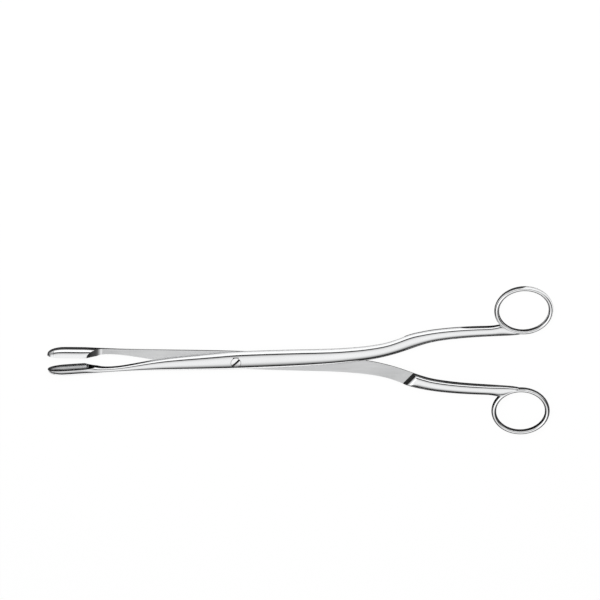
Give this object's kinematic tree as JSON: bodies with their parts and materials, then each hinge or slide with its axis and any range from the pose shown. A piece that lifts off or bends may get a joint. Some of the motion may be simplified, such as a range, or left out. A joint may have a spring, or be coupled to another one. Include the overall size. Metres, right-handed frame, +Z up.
{
  "type": "ovum forceps",
  "caption": "Long ring-handled forceps with a screwed lap joint, stepped handles and small hollow cup jaws that curve upward, for grasping and lifting out soft tissue.",
  "frame": {"origin": "on the joint screw's axis, in the plane of the rear half's ground back pad, which is the lowest face as the instrument lies", "axes": "+X along the instrument towards the finger rings, +Y across it towards the front half's ring, +Z up through the joint screw towards its slotted head"},
  "size_m": [0.2791, 0.0908, 0.0129],
  "materials": {
    "polished_steel": "polished stainless steel, with matte ground flats at the lap",
    "screw_steel": "bright turned stainless steel"
  },
  "bodies": {
    "rear": {"rear_half": "polished_steel", "joint_screw": "screw_steel"},
    "front": {"front_half": "polished_steel"}
  },
  "joints": [
    {"name": "jaw_hinge", "type": "hinge", "parent": "rear", "child": "front", "pos_m": [0, 0, 0.004], "axis": [0, 0, 1], "range_deg": [-4.75, 45]}
  ]
}
